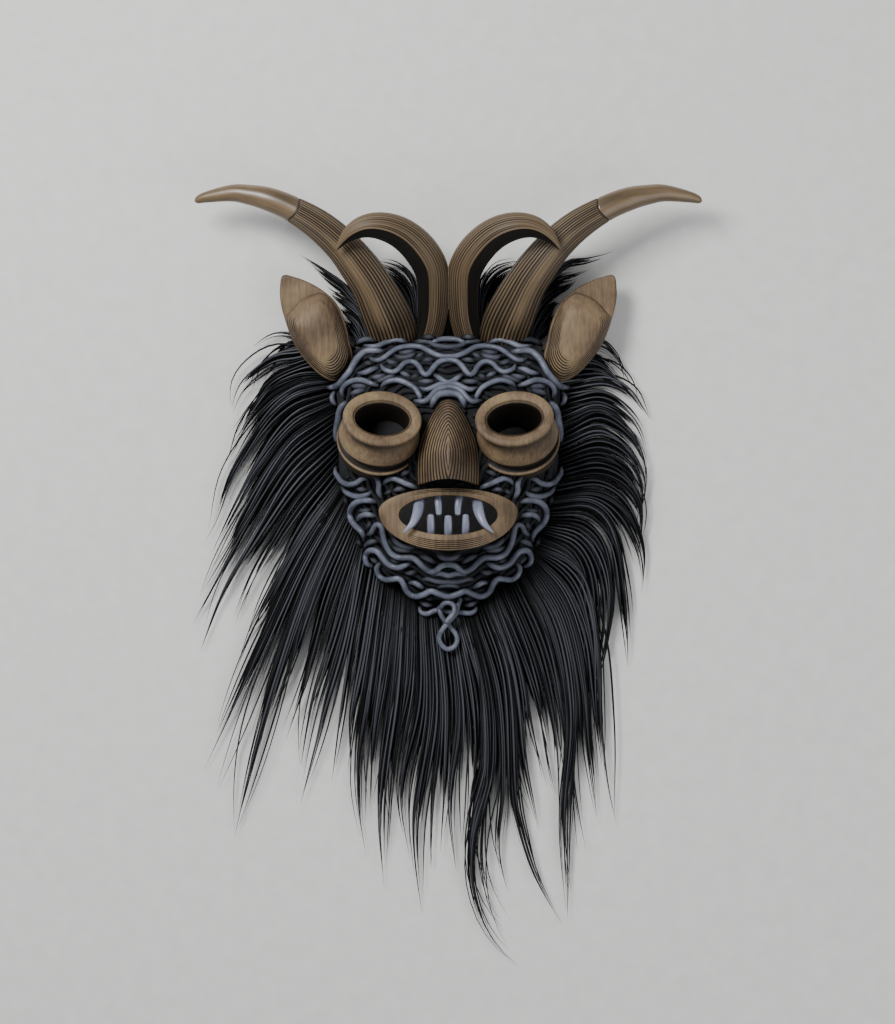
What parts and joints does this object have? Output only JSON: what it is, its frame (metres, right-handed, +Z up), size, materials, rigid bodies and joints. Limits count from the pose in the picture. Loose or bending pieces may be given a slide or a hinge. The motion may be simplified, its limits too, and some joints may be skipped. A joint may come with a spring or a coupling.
{
  "type": "horned mask",
  "caption": "Wearable horned mask with a cord-covered face, wooden eye spools, nose and toothed mouth, ears and long black hair, lying on its back",
  "frame": {"origin": "middle of the bounding box in X and Y, on the floor that the rim of the face shell lies on", "axes": "+Y from the beard to the horns, +X to the right of the picture, +Z up out of the face of the lying mask"},
  "size_m": [0.5108, 0.7925, 0.1394],
  "materials": {
    "shell": "matte, blackened",
    "cord": "waxed cord, soft sheen",
    "wood": "carved, satin",
    "horn": "grooved horn, satin",
    "horn_tip": "polished horn",
    "tooth": "smooth, satin",
    "hair": "long coarse hair, soft sheen"
  },
  "bodies": {
    "root": {"beard": "hair", "cord_net": "cord", "crown_hair_left": "hair", "crown_hair_right": "hair", "ear_left": "wood", "ear_right": "wood", "eye_spool_left": "wood", "eye_spool_right": "wood", "face_shell": "shell", "fang_left": "tooth", "fang_right": "tooth", "hair_left": "hair", "hair_right": "hair", "incisor_left": "tooth", "incisor_right": "tooth", "inner_horn_left": "horn", "inner_horn_right": "horn", "lower_tooth_left": "tooth", "lower_tooth_middle": "tooth", "lower_tooth_right": "tooth", "mouth_ring": "wood", "nose": "wood", "outer_horn_left": "horn", "outer_horn_right": "horn", "outer_horn_tip_left": "horn_tip", "outer_horn_tip_right": "horn_tip"}
  },
  "joints": []
}
